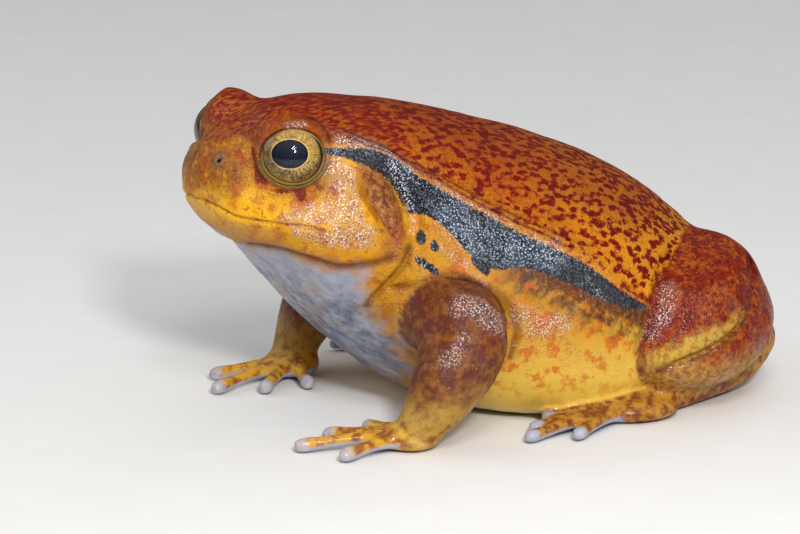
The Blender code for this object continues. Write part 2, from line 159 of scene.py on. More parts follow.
def relax(obj, share, rounds):
    """Draws each point towards the middle of its neighbours by its own share, some rounds long."""
    count = len(obj.data.vertices)
    ends = np.empty(len(obj.data.edges) * 2, np.int32)
    obj.data.edges.foreach_get("vertices", ends)
    one, two = ends.reshape(-1, 2).T
    met = np.maximum(np.bincount(one, minlength=count) + np.bincount(two, minlength=count), 1)
    points = places(obj)
    for _ in range(rounds):
        for axis in range(3):
            own = points[:, axis]
            total = np.bincount(one, own[two], count) + np.bincount(two, own[one], count)
            points[:, axis] = own + (total / met - own) * share
    put(obj, points)


def ease(low, high, value):
    """0 below low, 1 above high, and a smooth rise between them."""
    share = np.clip((value - low) / (high - low), 0.0, 1.0)
    return share * share * (3 - 2 * share)


def tree_of(*objects):
    """A search tree over the faces of some meshes, in millimetres."""
    corners, faces = [], []
    for obj in objects:
        start = len(corners)
        corners += [vert.co / MM for vert in obj.data.vertices]
        faces += [[start + i for i in face.vertices] for face in obj.data.polygons]
    return BVHTree.FromPolygons(corners, faces)


def distance_to(tree, points):
    """How far each point is from a tree's surface."""
    return np.array([tree.find_nearest(point)[3] for point in points.tolist()])


copies = []
for name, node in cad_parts.items():
    copy = bpy.data.objects.new("skin_of_" + name, node.data.copy())
    bpy.context.scene.collection.objects.link(copy)
    copy.data.materials.clear()
    copies.append(copy)
choose(*copies)
bpy.ops.object.join()
skin = bpy.context.object
skin.name = skin.data.name = "frog_skin"
edit_whole(skin, bpy.ops.mesh.remove_doubles, threshold=0.002 * MM)
edit_whole(skin, bpy.ops.mesh.customdata_custom_splitnormals_clear)
settle(skin, "DISPLACE", strength=SWELL * MM, mid_level=0.0)
settle(skin, "REMESH", mode="VOXEL", voxel_size=SKIN_GRAIN * MM, use_smooth_shade=True)

# Pockets of air that were closed in between two limbs are dropped.
edit_whole(skin, bpy.ops.mesh.separate, type="LOOSE")
shells = sorted(bpy.context.selected_objects, key=lambda shell: len(shell.data.vertices))
skin = shells.pop()
for shell in shells:
    bpy.data.objects.remove(shell)
skin.name = skin.data.name = "frog_skin"

GROUPS = {
    "head": ("head", "eye"), "trunk": ("torso",), "arms": ("upper_arm", "forearm"), "hands": ("hand",),
    "thighs": ("thigh",), "shanks": ("shank",), "feet": ("foot",),
}
trees = {}
for part, starts in GROUPS.items():
    trees[part] = tree_of(*(node for name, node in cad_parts.items() if name.startswith(starts)))
off = {part: distance_to(tree, places(skin)) for part, tree in trees.items()}


def fine_share(points):
    """1 on the hands and feet, falling to 0 a little way off them."""
    off_digits = np.minimum(distance_to(trees["hands"], points), distance_to(trees["feet"], points))
    return 1 - ease(0.6, 3.0, off_digits)


# Big plain forms are eased most. Fingers, toes, the face and the folds beside a limb keep their shape.
fine = fine_share(places(skin))
heady = 1 - ease(0.5, 3.0, off["head"])
limb = np.min([off["arms"], off["thighs"]], axis=0)
folded = 1 - ease(0.5, 1.6, np.maximum(off["trunk"], limb))
folded = np.maximum(folded, 1 - ease(0.5, 1.6, np.maximum(off["thighs"], off["shanks"])))
stiff = np.maximum.reduce([HEAD_SPARED * heady, DIGITS_SPARED * fine, FOLDS_SPARED * folded])
relax(skin, EASING * (1 - stiff), EASING_ROUNDS)
raise_skin(skin, np.full(len(skin.data.vertices), -SWELL))
rest_on_floor(skin)

# The forms of the head
# The lids are thick, wet rims that stand round the eyes, the mouth is one long slit with soft lips, the
# nostrils are small raised rings, and the ear lies in a shallow leaf-shaped hollow behind the cheek.
EYE_SHIFT = (-0.3, 0.8, -0.8)  # from the middle of the eye's solid, in millimetres
EYE_FORWARD = math.radians(25)
EYE_UP = math.radians(9)
EYE_RADIUS = 5.2
EYE_OPENING = (4.6, 4.1)  # half the width and half the height of the opening between the lids
HIGH_LID_DROOP = 0.3  # how much lower the upper lid hangs than the iris is high
LID_EDGE = 5.28  # the lids' edge and what follows are measured from the eye's centre
BEHIND_EYE = 3.6
LOW_LID_RISE = 0.16
HIGH_LID_RISE = 0.55
MOUTH_DEPTH, MOUTH_WIDTH = 0.42, 0.24
LIPS = ((0.75, 0.55, 0.13), (-0.85, 0.6, 0.07))  # the height over the mouth's line, width and swelling
JAW_CREASE_DEPTH, JAW_CREASE_WIDTH = 0.30, 0.55
JAW_EDGE_HEIGHT, JAW_EDGE_WIDTH, JAW_EDGE_SWELLING = 1.5, 1.0, 0.22
SNOUT_TIP_FROM, SNOUT_TIP_TO, SNOUT_TIP_CUT = -39.5, -42.5, 0.40
SNOUT_CORNER_CUT, SNOUT_CORNER_REACH = 0.75, 2.6
NAPE_CUT, NAPE_REACH = 0.45, 8.0
CANTHUS_RISE, CANTHUS_WIDTH = 0.28, 1.1
EAR_HALF_WIDTH = 2.4
EAR_DEPTH, EAR_EDGE_RISE = 0.34, 0.20
NOSTRIL_RING, NOSTRIL_RING_WIDTH, NOSTRIL_RING_RISE = 0.85, 0.36, 0.30
NOSTRIL_DEPTH, NOSTRIL_WIDTH = 0.80, 0.34

# Lines on the near side, as pixels of the picture, from front to back or from top to bottom.
MOUTH_PIXELS = ((189, 197.5), (202, 202), (218, 208.8), (238.6, 217.6), (259, 220.8), (280, 224.8),
                (305.6, 227.2), (325, 230))
JAW_PIXELS = ((197, 221), (210, 231), (225, 237.5), (242.5, 242.5), (262, 245.5), (280, 249.6), (305, 256.8),
              (340, 267), (372, 263.5), (392, 256))
CANTHUS_PIXELS = ((262, 133), (250, 134.5), (236, 137), (220, 141), (204, 146))
EYE_CREASE_PIXELS = ((252, 143), (253, 156), (256, 168), (262, 181), (268, 193))
LID_FOLD_PIXELS = ((262, 128), (276, 118.5), (294, 114.5), (312, 118), (325, 128), (332, 142))
EAR_PIXELS = ((364, 163), (373, 176), (382, 192), (389, 207), (394, 222), (398, 241))
CHEEK_FOLD_PIXELS = ((409, 247), (406, 262), (393, 278), (375, 297), (366, 306))
NOSTRIL_PIXEL = (216.8, 157.6)
SNOUT_CORNER_PIXEL = (186, 153)
NAPE_PIXEL = (338, 93)

eye_centre = np.array(eye_place) + EYE_SHIFT


def through(rows, steps):
    """A smooth curve through rows of numbers, as an array with steps rows for each stretch."""
    rows = np.array(rows, float)
    ends = np.concatenate([rows[:1], rows, rows[-1:]])
    made = []
    for a, b, c, d in zip(ends, ends[1:], ends[2:], ends[3:]):
        for t in np.arange(steps) / steps:
            made.append(b + 0.5 * t * (c - a + t * (2 * a - 5 * b + 4 * c - d + t * (3 * (b - c) + d - a))))
    return np.array(made + [rows[-1]])


def trace(tree, pixels, steps=4):
    """The places of the skin that the camera sees along a smooth curve through pixels."""
    found = []
    for across, down in through(pixels, steps):
        place = tree.ray_cast(view_place, sight(across, down))[0]
        if place is not None:
            found.append(place)
    return np.array(found)


def follow(points, normals, line):
    """For each point its distance to a line, its share of the way along it, and how far it lies above it."""
    nearest = np.full(len(points), np.inf)
    along, above = np.zeros(len(points)), np.zeros(len(points))
    lengths = np.linalg.norm(np.diff(line, axis=0), axis=1)
    starts = np.concatenate([[0.0], np.cumsum(lengths)])
    for start, end, length, before in zip(line, line[1:], lengths, starts):
        way = (end - start) / length
        reach = np.clip((points - start) @ way, 0.0, length)
        aside = points - start - reach[:, None] * way
        distance = np.linalg.norm(aside, axis=1)
        closer = distance < nearest
        nearest[closer] = distance[closer]
        along[closer] = (before + reach[closer]) / starts[-1]
        above[closer] = np.einsum("ij,ij->i", aside[closer], np.cross(normals[closer], way))
    return nearest, along, above


def bell(distance, width):
    """1 at no distance, falling to almost nothing at twice the width."""
    return np.exp(-(distance / width) ** 2)


def tapered(along, first, last):
    """1 from the first to the last of two shares of a line, falling to 0 at its ends."""
    return ease(0.0, first, along) * (1 - ease(last, 1.0, along))


def divide(obj, wanted):
    """Divides each face that has a wanted point."""
    choose(obj)
    corners = np.empty(len(obj.data.loops), np.int32)
    firsts = np.empty(len(obj.data.polygons), np.int32)
    obj.data.loops.foreach_get("vertex_index", corners)
    obj.data.polygons.foreach_get("loop_start", firsts)
    picked = np.logical_or.reduceat(wanted[corners], firsts)
    bpy.ops.object.mode_set(mode="EDIT")
    bpy.ops.mesh.select_mode(type="FACE")
    bpy.ops.mesh.select_all(action="DESELECT")
    bpy.ops.object.mode_set(mode="OBJECT")
    obj.data.polygons.foreach_set("select", picked)
    bpy.ops.object.mode_set(mode="EDIT")
    bpy.ops.mesh.subdivide(number_cuts=1, ngon=False)
    bpy.ops.object.mode_set(mode="OBJECT")


def mirroring(points):
    """What points of the right side are multiplied by, to lie over the left side."""
    return np.where(points[:, :1] < 0, [-1.0, 1.0, 1.0], 1.0)


def left_half(obj):
    """The points of a mesh and the directions out of it, with the right side laid over the left."""
    points = places(obj)
    return points * mirroring(points), outward(obj) * mirroring(points)


def eye_axes(one_side=1):
    """The directions ahead of an eye, above its axis and behind its axis, as rows."""
    flat = math.cos(EYE_UP)
    axis = np.array([flat * math.cos(EYE_FORWARD), -flat * math.sin(EYE_FORWARD), math.sin(EYE_UP)])
    rearward = np.cross([0.0, 0.0, 1.0], axis)
    rearward /= np.linalg.norm(rearward)
    return np.array([axis, np.cross(axis, rearward), rearward]) * [one_side, 1.0, 1.0]


def round_eye(points):
    """Distances from the left eye's centre, above its axis and behind it, and the angle from the axis as a
    share of the angle at the edge of the lids."""
    offset = points - eye_centre
    ahead, above, behind = (offset @ axis for axis in eye_axes())
    aside = np.maximum(np.hypot(above, behind), 1e-6)
    height = np.where(above > 0, EYE_OPENING[1] - HIGH_LID_DROOP, EYE_OPENING[1])
    stretched = np.hypot(behind / EYE_OPENING[0], above / height) / aside
    share = np.arctan2(aside, ahead) / np.arcsin(1 / (EYE_RADIUS * stretched))
    return np.linalg.norm(offset, axis=1), above, behind, share


def within_ear(side, normals):
    """How far points lie inside the leaf shape of the ear, and how far above its middle line."""
    distance, along, above = follow(side, normals, ear)
    leaf = EAR_HALF_WIDTH * np.sqrt(np.clip(np.sin(math.pi * np.clip(along, 0.02, 0.98)), 0, 1))
    return leaf - distance, above


skin_tree = tree_of(skin)
mouth = trace(skin_tree, MOUTH_PIXELS)
front_of_mouth = skin_tree.ray_cast(Vector((0, -80, mouth[0][2] + 0.1)), Vector((0, 1, 0)))[0]
mouth = np.concatenate([[front_of_mouth], mouth[mouth[:, 0] > 1.5]])
jaw = trace(skin_tree, JAW_PIXELS)
canthus = trace(skin_tree, CANTHUS_PIXELS)
eye_crease = trace(skin_tree, EYE_CREASE_PIXELS)
lid_fold = trace(skin_tree, LID_FOLD_PIXELS)
ear = trace(skin_tree, EAR_PIXELS)
cheek_fold = trace(skin_tree, CHEEK_FOLD_PIXELS)
nostril, snout_corner, nape = (
    np.array(skin_tree.ray_cast(view_place, sight(*pixel))[0])
    for pixel in (NOSTRIL_PIXEL, SNOUT_CORNER_PIXEL, NAPE_PIXEL)
)
snout_corner[0] = abs(snout_corner[0])
nostril_way = np.array(skin_tree.ray_cast(view_place, sight(*NOSTRIL_PIXEL))[1])

# The solids' plain hollow for the ear is smoothed away, for the finer one below.
ear_distance = follow(*left_half(skin), ear)[0]
relax(skin, 0.95 * (1 - ease(2.6, 4.2, ear_distance)), 60)

# The points are set closer round the eyes, along the mouth and at the nostrils.
for nearness, lid_reach in ((2.2, 1.45), (0.9, 1.2)):
    side, normals = left_half(skin)
    size, _, _, share = round_eye(side)
    close = (size < 8.5) & (share > 0.85) & (share < lid_reach)
    close |= follow(side, normals, mouth)[0] < nearness
    close |= np.linalg.norm(side - nostril, axis=1) < 0.8 * nearness
    if nearness > 1:
        for line in (jaw, cheek_fold, eye_crease, lid_fold):
            close |= follow(side, normals, line)[0] < 0.5 * nearness
    divide(skin, close)
    count = len(close)
    added = np.arange(len(skin.data.vertices)) >= count
    relax(skin, 0.5 * (added | np.concatenate([close, np.zeros(len(added) - count, bool)])), 3)

side, normals = left_half(skin)
rise = np.zeros(len(side))

# Mouth: a slit under a slightly overhanging upper lip.
distance, along, above = follow(side, normals, mouth)
fading = 1 - ease(0.86, 1.0, along)
rise -= MOUTH_DEPTH * bell(distance, MOUTH_WIDTH) * fading * (0.55 + 0.45 * ease(0.0, 0.2, along))
for height, width, swelling in LIPS:
    rise += swelling * bell(above - height, width) * fading * (distance < 3)

# Jaw: its soft lower edge, with the crease where the throat's thinner skin begins.
distance, along, above = follow(side, normals, jaw)
fading = tapered(along, 0.2, 0.85)
rise -= JAW_CREASE_DEPTH * bell(distance, JAW_CREASE_WIDTH) * fading
rise += JAW_EDGE_SWELLING * bell(above - JAW_EDGE_HEIGHT, JAW_EDGE_WIDTH) * fading * (distance < 4)

# Snout: its blunt tip and the corner above it are rounded off, and a ridge runs from the eye to the nostril.
rise -= SNOUT_TIP_CUT * ease(SNOUT_TIP_FROM, SNOUT_TIP_TO, side[:, 1])
rise -= SNOUT_CORNER_CUT * bell(np.linalg.norm(side - snout_corner, axis=1), SNOUT_CORNER_REACH)
rise -= NAPE_CUT * bell(np.linalg.norm(side - nape, axis=1), NAPE_REACH)
distance, along, _ = follow(side, normals, canthus)
rise += CANTHUS_RISE * bell(distance, CANTHUS_WIDTH) * tapered(along, 0.2, 0.75)

# Creases before the eye, over its lid and behind the cheek.
for line, depth, width in ((eye_crease, 0.24, 0.45), (lid_fold, 0.16, 0.4), (cheek_fold, 0.5, 0.5)):
    distance, along, _ = follow(side, normals, line)
    rise -= depth * bell(distance, width) * tapered(along, 0.15, 0.8)

# Ear: a hollow with a firm edge, deeper towards the front.
ear_inside, above = within_ear(side, normals)
rise -= EAR_DEPTH * ease(-0.5, 1.0, ear_inside) * (0.35 + 0.65 * ease(-0.9, 0.6, -above))
rise += EAR_EDGE_RISE * bell(ear_inside + 0.45, 0.45) * ease(0.4, -0.6, -above - 0.3)

# Nostrils: a raised ring round a small pit.
distance = np.linalg.norm(side - nostril, axis=1)
rise += NOSTRIL_RING_RISE * bell(distance - NOSTRIL_RING, NOSTRIL_RING_WIDTH)
rise -= NOSTRIL_DEPTH * bell(distance, NOSTRIL_WIDTH)
raise_skin(skin, rise)

# Lids: inside their opening the skin lies behind the eyeball, and round it stands the rim.
points = places(skin)
size, above, behind, share = round_eye(points * mirroring(points))
upward = above / np.maximum(np.hypot(above, behind), 0.01)
lid_rise = LOW_LID_RISE + (HIGH_LID_RISE - LOW_LID_RISE) * ease(-0.3, 0.8, upward)
bulge = np.clip((share - 1) / 0.13, 0, 1)
rim = LID_EDGE + lid_rise * np.sqrt(np.clip(1 - (1 - bulge) ** 2, 0, 1))
fore_half = ease(2.5, -2.5, behind)
held = (1 - ease(1.13, 1.42 + 0.30 * fore_half, share)) * (size < 9)
target = np.where(share < 1, BEHIND_EYE + (LID_EDGE - BEHIND_EYE) * ease(0.965, 1.0, share), rim)
new_size = size + (target - size) * held
eye_middle = eye_centre * mirroring(points)
put(skin, eye_middle + (points - eye_middle) * (new_size / np.maximum(size, 0.01))[:, None])

# The folds of the trunk and the limbs
# A granular fold runs from behind each eye over the ear and along the flank to the hip, and the loose skin
# creases where the arms and thighs leave the body. The carved creases deepen what the solids leave open.
BACK_FOLD_PIXELS = ((352, 146), (384, 153), (410, 172), (440, 189), (475, 210), (510, 228), (550, 247),
                    (590, 268))
BACK_FOLD_RISE, BACK_FOLD_WIDTH = 0.24, 0.9
WRINKLES_OVER_FOLD = (1.3, 2.4)
WRINKLE_DEPTH, WRINKLE_WIDTH = 0.18, 0.26
EAR_FOLD_PIXELS = ((392, 163), (399, 177), (404, 192), (408, 207), (411, 220), (413, 232))
SHOULDER_PIXELS = ((383, 288.5), (400, 287.5), (418, 285.5), (433, 277))
ARM_PIT_PIXELS = ((433, 277), (455, 275.5), (477, 283), (496, 293), (507, 303), (515, 318), (517, 335),
                  (510, 356))
THIGH_FRONT_PIXELS = ((668, 254), (661, 272), (655, 295), (647, 326), (639, 350), (641, 372))
KNEE_GROOVE_PIXELS = ((749, 256), (754, 270), (753.5, 287), (749, 300), (745.5, 313), (740.5, 325),
                      (735, 333), (725, 342), (712.5, 349.5), (698, 357), (679, 364), (660, 370))
BELLY_CREASE_PIXELS = ((520, 405), (556, 408), (596, 401), (632, 386))

side, normals = left_half(skin)
on_left = places(skin)[:, 0] > 0
rise = np.zeros(len(side))

back_fold = trace(skin_tree, BACK_FOLD_PIXELS)
distance, along, above = follow(side, normals, back_fold)
fading = tapered(along, 0.12, 0.8)
rise += BACK_FOLD_RISE * bell(distance, BACK_FOLD_WIDTH) * fading
for height in WRINKLES_OVER_FOLD:
    rise -= WRINKLE_DEPTH * bell(above - height, WRINKLE_WIDTH) * fading * (distance < 1.3 * height)

# Each fold as its pixels, its rise in millimetres, its width, and whether the right side has it too.
for pixels, height, width, paired in (
    (EAR_FOLD_PIXELS, 0.34, 0.55, True),
    (SHOULDER_PIXELS, -0.45, 0.45, True),
    (ARM_PIT_PIXELS, -0.45, 0.5, False),
    (THIGH_FRONT_PIXELS, -0.7, 0.7, True),
    (KNEE_GROOVE_PIXELS, -1.1, 0.5, True),
    (BELLY_CREASE_PIXELS, -0.14, 0.8, True),
):
    distance, along, _ = follow(side, normals, trace(skin_tree, pixels))
    rise += height * bell(distance, width) * tapered(along, 0.12, 0.88) * (on_left | paired)

# Loose skin is nowhere quite even: it swells a little from place to place.
UNEVEN = ((7.0, 0.16), (3.2, 0.08), (1.5, 0.035))  # the size of the swellings, and how high they are
calm = ease(5.9, 7.5, round_eye(side)[0]) * (1 - 0.8 * fine_share(places(skin)))
for size, height in UNEVEN:
    rise += height * calm * np.array([noise.noise(Vector(place) / size) for place in places(skin).tolist()])
raise_skin(skin, rise)
rest_on_floor(skin)

# The fingers and toes
# Four fingers and five toes spread from each palm and sole. Their tips are blunt and a little swollen, and a
# short web joins the toes where they start. They lie where the solids have them.
EYE_BEFORE_MOVE = -29.2
BODY_BACKWARD = eye_place.y - EYE_BEFORE_MOVE  # how far the frog was moved along y to stand over the middle
PALM_CENTRES = {1: (22.4, -17.2), -1: (19.6, -14.2)}  # of the left and the right hand
PALM_TURN = 20
FINGERS = ((9.2, -58), (11.8, -24), (15.4, 1), (11.6, 30))  # length, and angle from the hand's heading
SOLE_CENTRE = (25.0, 17.6)
TOES_AHEAD = 1.3
SOLE_TURN = -9
TOES = ((8.5, -34), (12.0, -20), (15.5, -8), (18.8, 3), (13.5, 18))
DIGIT_HEIGHT = 0.85
TIP_SWELLING, TIP_SWELLING_FROM, TIP_SWELLING_WIDTH = 0.07, 0.6, 1.1


def digit_lines(centre, turn, spread, side):
    """The start and tip of each finger or toe."""
    made = []
    for length, angle in spread:
        heading = math.radians(angle - turn)
        way = np.array([side * math.sin(heading), -math.cos(heading), 0.0])
        start = np.array([side * centre[0], centre[1] + BODY_BACKWARD, DIGIT_HEIGHT])
        made.append((start, start + way * length))
    return made


digits = []
for one_side in (1, -1):
    digits += digit_lines(PALM_CENTRES[one_side], PALM_TURN, FINGERS, one_side)
    digits += digit_lines((SOLE_CENTRE[0], SOLE_CENTRE[1] - TOES_AHEAD), SOLE_TURN, TOES, one_side)


def to_tip(points):
    """How far each point is from the nearest tip of a finger or toe."""
    return np.min([np.linalg.norm(points - tip, axis=1) for _, tip in digits], axis=0)


raise_skin(skin, TIP_SWELLING * bell(to_tip(places(skin)) - TIP_SWELLING_FROM, TIP_SWELLING_WIDTH))
rest_on_floor(skin)

# The markings of the skin
# The colours lie in the skin itself: a dark band along each flank, an orange back netted with red, a yellow
# flank and belly, and a bluish white throat. Each is kept on the skin as the distance inside its own edge.
# Other marks say where shade is painted into the creases and where highlights are painted on the wet grains.
STRIPE_PIXELS = (
    (321, 149), (330, 148), (341, 148), (362, 147), (382, 152), (400, 162), (414, 173), (433, 184),
    (462, 201), (491, 217), (525, 235), (554, 248), (579, 260), (602, 275), (622, 291), (648, 305),
    (638, 310), (614, 304), (596, 297), (579, 288), (561, 280), (540, 272), (521, 267), (499, 270),
    (483, 266), (471, 256), (459, 243), (447, 230), (436, 221), (424, 215), (409, 213), (400, 199),
    (391, 185), (378, 173), (359, 163), (342, 156.5), (331, 155.5), (322, 152.5),
)
# The loose dark spots under the band's front, as centre, half length and half width in pixels, and degrees.
SPOT_PIXELS = (
    (421, 237.5, 7.6, 4.8, 80), (434.5, 246, 6.2, 4.6, 70), (427, 265.5, 17, 4.2, 36), (481, 265, 13, 6, 50),
)
THROAT_PIXELS = (
    (199, 224), (210, 232), (225, 239), (242.5, 244), (262, 247), (280, 251.5), (305, 259), (340, 269),
    (372, 267), (361, 287), (368, 305), (386, 330), (405, 338),
)
KNEE_PALE_PIXELS = (
    (641, 366), (643, 352), (656, 348), (672, 343), (688, 336), (700, 328), (714, 325), (727, 320),
    (738, 310), (745, 311), (741, 325), (735, 333), (725, 342), (712, 349.5), (698, 357), (679, 364),
    (660, 370),
)
BAND_END_PIXELS = ((602, 275), (622, 291), (648, 305))
THROAT_BELOW = ((-9.0, -3.0), (-25.0, -3.0), (-44.0, 12.0), (-44.0, 29.0))  # the rest, as y and z
# Strokes as lines of pixels, each with half its width in millimetres. The blotches are dark red, the flush
# before the eye is a lighter red, and the gleams are where the wet grains catch most of the light: there a
# sheen and glints are painted on, and the grains are made more granular and wetter.
BLOTCH_PIXELS = (
    (((257, 164), (260, 178), (266, 192)), 0.85),
    (((298, 189), (302, 196), (306, 203)), 0.95),
    (((276, 191), (287, 193)), 0.42),
    (((315, 183), (323, 190)), 0.6),
    (((331, 190), (337, 195)), 0.35),
    (((253, 150), (256, 163)), 0.55),
    (((622, 284), (636, 293), (651, 302)), 0.45),
)
FLUSH_PIXELS = ((((239, 155), (243, 166), (247, 178), (250, 188)), 0.8),)
GLEAM_PIXELS = (
    (((334, 168), (346, 186), (350, 205), (345, 222)), 1.9),
    (((296, 216), (320, 211), (345, 216), (364, 234)), 1.5),
    (((298, 233), (320, 236), (345, 240)), 0.6),
    (((329, 151), (341, 154)), 0.45),
    (((288, 127), (296, 124.5), (305, 124)), 0.3),
    (((340, 143), (362, 142), (384, 150), (410, 168)), 0.8),
    (((440, 186), (475, 207), (510, 225)), 0.6),
    (((463, 305), (480, 309), (497, 322)), 1.8),
    (((518, 314), (536, 326), (560, 322)), 1.5),
    (((464, 338), (455, 352), (447, 366)), 0.9),
    (((668, 288), (664, 308), (652, 332)), 1.3),
    (((452, 216), (482, 240), (515, 250), (552, 255)), 2.3),
    (((441, 249), (465, 264), (486, 284)), 0.3),
)


def inside(points, outline):
    """How far points of a plane lie inside a closed outline; outside it, the distance is negative."""
    nearest = np.full(len(points), np.inf)
    within = np.zeros(len(points), bool)
    for start, end in zip(outline, np.roll(outline, -1, axis=0)):
        way = end - start
        share = np.clip((points - start) @ way / max(way @ way, 1e-9), 0, 1)
        nearest = np.minimum(nearest, np.linalg.norm(points - start - share[:, None] * way, axis=1))
        level = (start[1] > points[:, 1]) != (end[1] > points[:, 1])
        crossing = start[0] + (points[:, 1] - start[1]) * way[0] / (way[1] if way[1] else 1e-9)
        within ^= level & (points[:, 0] < crossing)
    return np.where(within, nearest, -nearest)


def oval(tree, across, down, half_length, half_width, turn):
    """The outline of an oval spot of the picture, traced onto the skin and seen from the side."""
    angle = math.radians(turn)
    pixels = []
    for step in range(13):
        around = 2 * math.pi * step / 12
        far, near = half_length * math.cos(around), half_width * math.sin(around)
        pixels.append((across + far * math.cos(angle) - near * math.sin(angle),
                       down + far * math.sin(angle) + near * math.cos(angle)))
    return trace(tree, pixels, 1)[:-1, 1:]


def mark(obj, name, values):
    """Keeps a number for each point of the mesh under a name, for its finish to read."""
    layer = obj.data.attributes.new(name, "FLOAT", "POINT")
    layer.data.foreach_set("value", np.asarray(values, np.float32))


TRIANGLES = 196000  # the number of triangles that the skin is cut down to; an exported piece may have 200000
edit_whole(skin, bpy.ops.mesh.quads_convert_to_tris)
settle(skin, "DECIMATE", ratio=min(1.0, TRIANGLES / len(skin.data.polygons)))
skin.data.shade_smooth()

points = places(skin)
side, normals = left_half(skin)
seen_from_side = side[:, 1:]
off = {part: distance_to(tree, points) for part, tree in trees.items()}


def lead(*parts):
    """How much nearer each point is to these parts of the body than to any other, in millimetres."""
    own = np.min([off[part] for part in parts], axis=0)
    others = np.min([off[part] for part in off if part not in parts], axis=0)
    return np.clip(others - own, -6, 6)


finished_tree = tree_of(skin)
stripe_outline = trace(finished_tree, STRIPE_PIXELS, 2)[:, 1:]
stripe = inside(seen_from_side, stripe_outline)
for spot in SPOT_PIXELS:
    stripe = np.maximum(stripe, inside(seen_from_side, oval(finished_tree, *spot)))


def off_line(line):
    """How far the points of the skin are from a line."""
    return follow(side, normals, line)[0]


def strokes(lines):
    """How far the points lie inside strokes drawn along lines of pixels, each with its half width."""
    return np.max([width - off_line(trace(finished_tree, line)) for line, width in lines], axis=0)


throat_edge = np.concatenate([trace(finished_tree, THROAT_PIXELS, 1)[:, 1:], THROAT_BELOW])
throat = inside(seen_from_side, throat_edge)

# The edge between back and flank runs over the band, along the brow in front of it, and on to the hip.
edge_lines = (CANTHUS_PIXELS, BACK_FOLD_PIXELS, BAND_END_PIXELS)
top = np.concatenate([trace(skin_tree, pixels, 1) for pixels in edge_lines])
top = top[np.argsort(top[:, 1])]
over_edge = side[:, 2] - np.interp(side[:, 1], top[:, 1], top[:, 2])
inward = np.interp(side[:, 1], top[:, 1], top[:, 0]) - side[:, 0]
ahead_of_ears = 1 - ease(1, 5, side[:, 1] - eye_centre[1])
brows_span = ease(top[0, 1] + 1, top[0, 1] + 4, side[:, 1]) * ahead_of_ears
dipped = np.minimum(inward, 1.2) - 12 * (1 - brows_span)
over_edge = np.where(over_edge > -4, np.maximum(over_edge, dipped), over_edge)
mark(skin, "back", np.clip(over_edge, -12, 12))

# Shade is painted into the creases and the armpit: they are a little darker than the skin beside them, and
# so are the wrinkles over the fold of the back.
crease_shade = np.zeros(len(side))
for line, width in ((jaw, 0.7), (cheek_fold, 0.6), (eye_crease, 0.7), (lid_fold, 0.45)):
    crease_shade = np.maximum(crease_shade, bell(off_line(line), width))
for pixels, width in ((SHOULDER_PIXELS, 0.5), (THIGH_FRONT_PIXELS, 0.5), (KNEE_GROOVE_PIXELS, 0.7)):
    crease_shade = np.maximum(crease_shade, bell(off_line(trace(skin_tree, pixels)), width))
pit = bell(off_line(trace(skin_tree, ARM_PIT_PIXELS)), 0.6) * (points[:, 0] > 0)
distance, along, above = follow(side, normals, back_fold)
wrinkles = sum(bell(above - height, 0.3) * (distance < 1.3 * height) for height in WRINKLES_OVER_FOLD)
crease_shade = np.maximum(crease_shade, wrinkles * (1 - ease(0.8, 1.0, along)) * (distance < 3.5))
mark(skin, "painted_crease_shade", np.maximum(crease_shade, pit))

# The lids, and the rim of the lower one.
size, above, _, opening = round_eye(side)
high = ease(0.5, 3.0, above)
reach = 6.3 + 1.3 * high
lid = (1 - ease(1.1, 1.4 + 0.25 * high, opening)) * (1 - ease(reach - 0.5, reach + 0.4, size))
mark(skin, "lid", lid)
mark(skin, "low_lid", (1 - ease(1.05, 1.15, opening)) * ease(0.2, -0.45, above / 4) * (size < 8))

# The nostril's mark is measured from its axis, and only near it.
from_nostril = side - nostril
aside = from_nostril - (from_nostril @ nostril_way)[:, None] * nostril_way
too_far = np.linalg.norm(from_nostril, axis=1) > 3
mark(skin, "nostril", np.clip(np.linalg.norm(aside, axis=1) + 3 * too_far, 0, 9))

mark(skin, "stripe", np.clip(stripe, -6, 6))
mark(skin, "throat", np.minimum(np.clip(throat, -8, 8), lead("trunk", "head") + 0.3))
for name, lines in (("blotch", BLOTCH_PIXELS), ("flush", FLUSH_PIXELS), ("gleam", GLEAM_PIXELS)):
    mark(skin, name, np.clip(strokes(lines), -3, 3))
mark(skin, "ear", within_ear(side, normals)[0])
for name, parts in (
    ("head", ["head"]), ("arm", ["arms"]), ("hand", ["hands"]), ("thigh", ["thighs", "shanks"]),
    ("foot", ["feet"]),
):
    mark(skin, name, lead(*parts))
mark(skin, "mouth", np.clip(off_line(mouth), 0, 9))
knee_pale = inside(seen_from_side, trace(finished_tree, KNEE_PALE_PIXELS, 1)[:, 1:])
mark(skin, "knee", np.clip(knee_pale, -6, 6))
# A painted glint of pale grain tops runs along the fold over the ear.
mark(skin, "painted_ridge_glint", bell(off_line(trace(skin_tree, EAR_FOLD_PIXELS)), 0.8))
mark(skin, "height", points[:, 2])
mark(skin, "downward", -normals[:, 2])
mark(skin, "tip", np.clip(to_tip(points), 0, 9))

# The finish of the skin
# Wet, thin skin over a granular layer: each colour lies matt below, and a clear wet film over it takes the
# grain of the skin and glitters. The dark band and the cheeks are the most granular, the throat the least.


def dye(hexed):
    """A colour as painters write it on a screen, made into light."""
    levels = [int(hexed[i:i + 2], 16) / 255 for i in (0, 2, 4)]
    light = [level / 12.92 if level <= 0.04045 else ((level + 0.055) / 1.055) ** 2.4 for level in levels]
    return (*light, 1.0)


